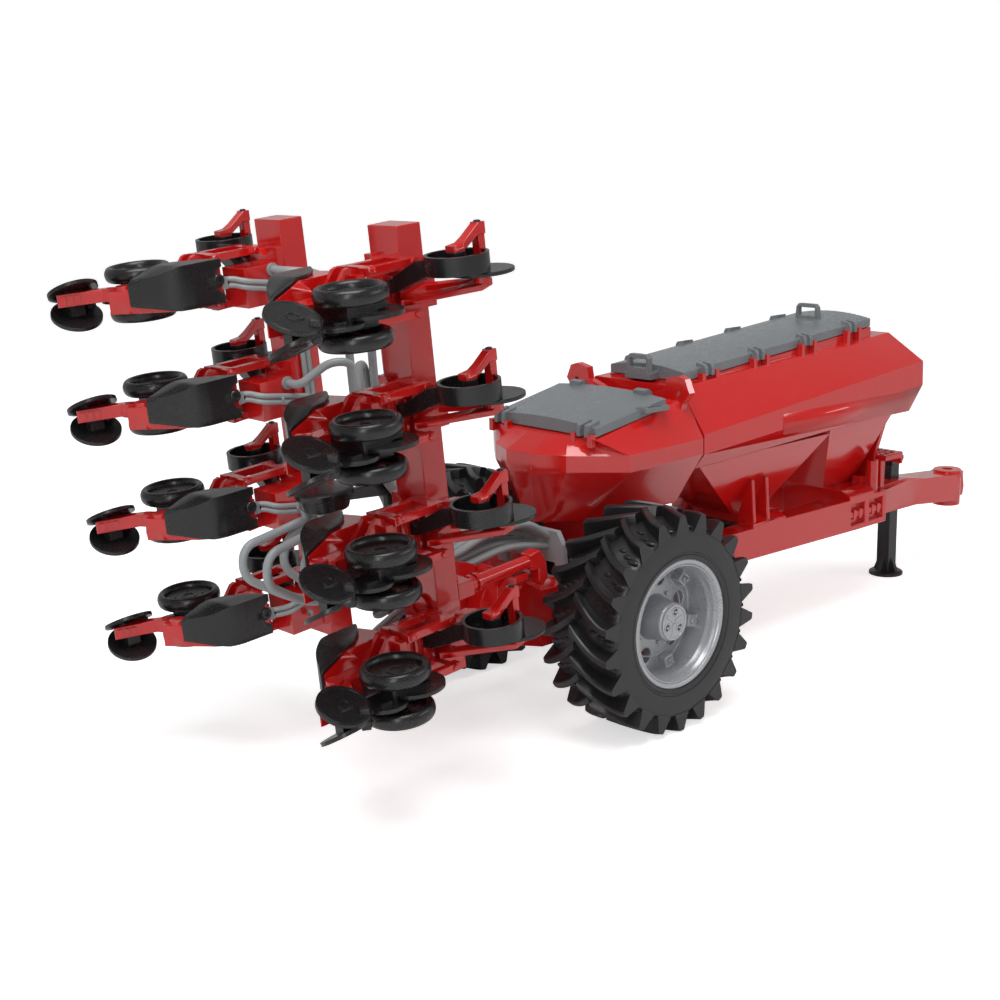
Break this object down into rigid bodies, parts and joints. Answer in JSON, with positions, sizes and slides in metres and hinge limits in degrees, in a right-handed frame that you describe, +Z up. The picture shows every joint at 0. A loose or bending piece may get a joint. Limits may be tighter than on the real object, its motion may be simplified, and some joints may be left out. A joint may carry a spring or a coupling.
{
  "type": "toy precision seeder",
  "caption": "Toy trailed precision seeder: two hopper tanks on a two-wheel chassis with a drawbar and jack, and two folding wings of row units.",
  "frame": {"origin": "centre of the bounding box on the ground, with the machine folded and standing on its wheels and jack", "axes": "+X forward to the hitch, +Y to the machine's left, +Z up"},
  "size_m": [0.5474, 0.1736, 0.226],
  "materials": {
    "red": "glossy red moulded plastic",
    "black": "satin black moulded plastic",
    "dark_grey": "satin dark grey moulded plastic",
    "hose_grey": "smooth grey moulded hose",
    "rim_grey": "silver grey moulded plastic",
    "tyre": "matt black rubber-like plastic",
    "steel": "bright drawn rod"
  },
  "bodies": {
    "chassis": {"axle": "steel", "main_frame": "red", "access_step": "red", "drawbar": "red", "metering_units": "black", "front_tank": "red", "rear_tank": "red", "toolbar_centre": "red", "lift_struts": "red", "hose_bundle": "hose_grey", "distributor": "black", "seed_hoses_loops": "hose_grey", "seed_hoses_risers": "hose_grey"},
    "wheel_left": {"tyre_left": "tyre", "rim_left": "rim_grey"},
    "wheel_right": {"tyre_right": "tyre", "rim_right": "rim_grey"},
    "jack": {"jack_leg": "black"},
    "front_lid": {"front_lid": "dark_grey"},
    "rear_lid": {"rear_lid": "dark_grey"},
    "wing_left": {"wing_beam_left": "red", "unit_linkages_left": "red", "unit_frames_left": "red", "unit_covers_left": "black", "opener_discs_left": "black", "closing_discs_left": "black", "coulter_rings_left": "black", "coulter_forks_left": "red", "wing_hoses_left": "hose_grey"},
    "gauge_left_1": {"gauge_wheels_left_1": "black"},
    "disc_left_1": {"coulter_disc_left_1": "black"},
    "gauge_left_2": {"gauge_wheels_left_2": "black"},
    "disc_left_2": {"coulter_disc_left_2": "black"},
    "gauge_left_3": {"gauge_wheels_left_3": "black"},
    "disc_left_3": {"coulter_disc_left_3": "black"},
    "gauge_left_4": {"gauge_wheels_left_4": "black"},
    "disc_left_4": {"coulter_disc_left_4": "black"},
    "wing_right": {"wing_beam_right": "red", "unit_linkages_right": "red", "unit_frames_right": "red", "unit_covers_right": "black", "opener_discs_right": "black", "closing_discs_right": "black", "coulter_rings_right": "black", "coulter_forks_right": "red", "wing_hoses_right": "hose_grey"},
    "gauge_right_1": {"gauge_wheels_right_1": "black"},
    "disc_right_1": {"coulter_disc_right_1": "black"},
    "gauge_right_2": {"gauge_wheels_right_2": "black"},
    "disc_right_2": {"coulter_disc_right_2": "black"},
    "gauge_right_3": {"gauge_wheels_right_3": "black"},
    "disc_right_3": {"coulter_disc_right_3": "black"},
    "gauge_right_4": {"gauge_wheels_right_4": "black"},
    "disc_right_4": {"coulter_disc_right_4": "black"}
  },
  "joints": [
    {"name": "wheel_left_spin", "type": "hinge", "parent": "chassis", "child": "wheel_left", "pos_m": [-0.0718, 0.0602, 0.049], "axis": [0, 1, 0], "continuous": true},
    {"name": "wheel_right_spin", "type": "hinge", "parent": "chassis", "child": "wheel_right", "pos_m": [-0.0718, -0.0602, 0.049], "axis": [0, 1, 0], "continuous": true},
    {"name": "fold_left", "type": "hinge", "parent": "chassis", "child": "wing_left", "pos_m": [-0.18041, 0.03715, 0.07413], "axis": [-0.9954, 0, -0.0958], "range_deg": [0, 90]},
    {"name": "fold_right", "type": "hinge", "parent": "chassis", "child": "wing_right", "pos_m": [-0.18041, -0.03715, 0.07413], "axis": [0.9954, 0, 0.0958], "range_deg": [0, 90]},
    {"name": "jack_slide", "type": "slide", "parent": "chassis", "child": "jack", "axis": [0, 0, 1], "range_m": [0, 0.028]},
    {"name": "front_lid_hinge", "type": "hinge", "parent": "chassis", "child": "front_lid", "pos_m": [-0.0068, 0.0243, 0.1429], "axis": [-0.9973, 0, -0.0736], "range_deg": [0, 100]},
    {"name": "rear_lid_hinge", "type": "hinge", "parent": "chassis", "child": "rear_lid", "pos_m": [-0.0768, 0, 0.12759], "axis": [0, -1, 0], "range_deg": [0, 75]},
    {"name": "gauge_left_1_spin", "type": "hinge", "parent": "wing_left", "child": "gauge_left_1", "pos_m": [-0.2217, 0.07, 0.05639], "axis": [-0.0958, 0, 0.9954], "continuous": true},
    {"name": "gauge_left_2_spin", "type": "hinge", "parent": "wing_left", "child": "gauge_left_2", "pos_m": [-0.22619, 0.07, 0.10308], "axis": [-0.0958, 0, 0.9954], "continuous": true},
    {"name": "gauge_left_3_spin", "type": "hinge", "parent": "wing_left", "child": "gauge_left_3", "pos_m": [-0.23069, 0.07, 0.14976], "axis": [-0.0958, 0, 0.9954], "continuous": true},
    {"name": "gauge_left_4_spin", "type": "hinge", "parent": "wing_left", "child": "gauge_left_4", "pos_m": [-0.23518, 0.07, 0.19645], "axis": [-0.0958, 0, 0.9954], "continuous": true},
    {"name": "disc_left_1_spin", "type": "hinge", "parent": "wing_left", "child": "disc_left_1", "pos_m": [-0.16555, 0.0745, 0.06798], "axis": [-0.0958, 0, 0.9954], "continuous": true},
    {"name": "disc_left_2_spin", "type": "hinge", "parent": "wing_left", "child": "disc_left_2", "pos_m": [-0.17004, 0.0745, 0.11466], "axis": [-0.0958, 0, 0.9954], "continuous": true},
    {"name": "disc_left_3_spin", "type": "hinge", "parent": "wing_left", "child": "disc_left_3", "pos_m": [-0.17454, 0.0745, 0.16135], "axis": [-0.0958, 0, 0.9954], "continuous": true},
    {"name": "disc_left_4_spin", "type": "hinge", "parent": "wing_left", "child": "disc_left_4", "pos_m": [-0.17903, 0.0745, 0.20803], "axis": [-0.0958, 0, 0.9954], "continuous": true},
    {"name": "gauge_right_1_spin", "type": "hinge", "parent": "wing_right", "child": "gauge_right_1", "pos_m": [-0.2217, -0.07, 0.05639], "axis": [-0.0958, 0, 0.9954], "continuous": true},
    {"name": "gauge_right_2_spin", "type": "hinge", "parent": "wing_right", "child": "gauge_right_2", "pos_m": [-0.22619, -0.07, 0.10308], "axis": [-0.0958, 0, 0.9954], "continuous": true},
    {"name": "gauge_right_3_spin", "type": "hinge", "parent": "wing_right", "child": "gauge_right_3", "pos_m": [-0.23069, -0.07, 0.14976], "axis": [-0.0958, 0, 0.9954], "continuous": true},
    {"name": "gauge_right_4_spin", "type": "hinge", "parent": "wing_right", "child": "gauge_right_4", "pos_m": [-0.23518, -0.07, 0.19645], "axis": [-0.0958, 0, 0.9954], "continuous": true},
    {"name": "disc_right_1_spin", "type": "hinge", "parent": "wing_right", "child": "disc_right_1", "pos_m": [-0.16555, -0.0745, 0.06798], "axis": [-0.0958, 0, 0.9954], "continuous": true},
    {"name": "disc_right_2_spin", "type": "hinge", "parent": "wing_right", "child": "disc_right_2", "pos_m": [-0.17004, -0.0745, 0.11466], "axis": [-0.0958, 0, 0.9954], "continuous": true},
    {"name": "disc_right_3_spin", "type": "hinge", "parent": "wing_right", "child": "disc_right_3", "pos_m": [-0.17454, -0.0745, 0.16135], "axis": [-0.0958, 0, 0.9954], "continuous": true},
    {"name": "disc_right_4_spin", "type": "hinge", "parent": "wing_right", "child": "disc_right_4", "pos_m": [-0.17903, -0.0745, 0.20803], "axis": [-0.0958, 0, 0.9954], "continuous": true}
  ]
}
